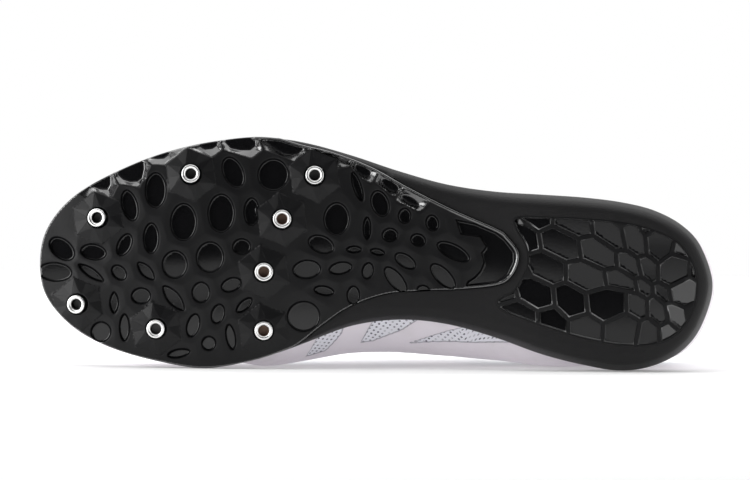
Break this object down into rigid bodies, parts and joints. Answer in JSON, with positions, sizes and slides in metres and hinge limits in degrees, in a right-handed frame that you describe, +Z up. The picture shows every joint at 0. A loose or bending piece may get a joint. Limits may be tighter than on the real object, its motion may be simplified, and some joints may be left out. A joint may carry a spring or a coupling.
{
  "type": "running spike shoe",
  "caption": "Left running track shoe lying on its medial side, with a moulded forefoot spike plate, metal spike sockets, a tiled heel plate, foam midsole and a laced hollow upper.",
  "frame": {"origin": "middle of the lying shoe's box, on the floor", "axes": "+X from toe to heel, +Y from the tread to the collar, +Z up from the medial to the lateral side"},
  "size_m": [0.2864, 0.1054, 0.098],
  "materials": {
    "plate": "glossy moulded black",
    "socket": "bright turned metal",
    "heel_plate": "glossy moulded black",
    "midsole": "matte black foam",
    "upper": "white film over mesh",
    "tongue": "white padded mesh",
    "insole": "grey cloth",
    "lace": "white flat woven"
  },
  "bodies": {
    "root": {"spike_plate": "plate", "spike_socket_1": "socket", "spike_socket_2": "socket", "spike_socket_3": "socket", "spike_socket_4": "socket", "spike_socket_5": "socket", "spike_socket_6": "socket", "spike_socket_7": "socket", "spike_socket_8": "socket", "heel_plate": "heel_plate", "midsole": "midsole", "upper": "upper", "tongue": "tongue", "insole": "insole", "lace": "lace"}
  },
  "joints": []
}
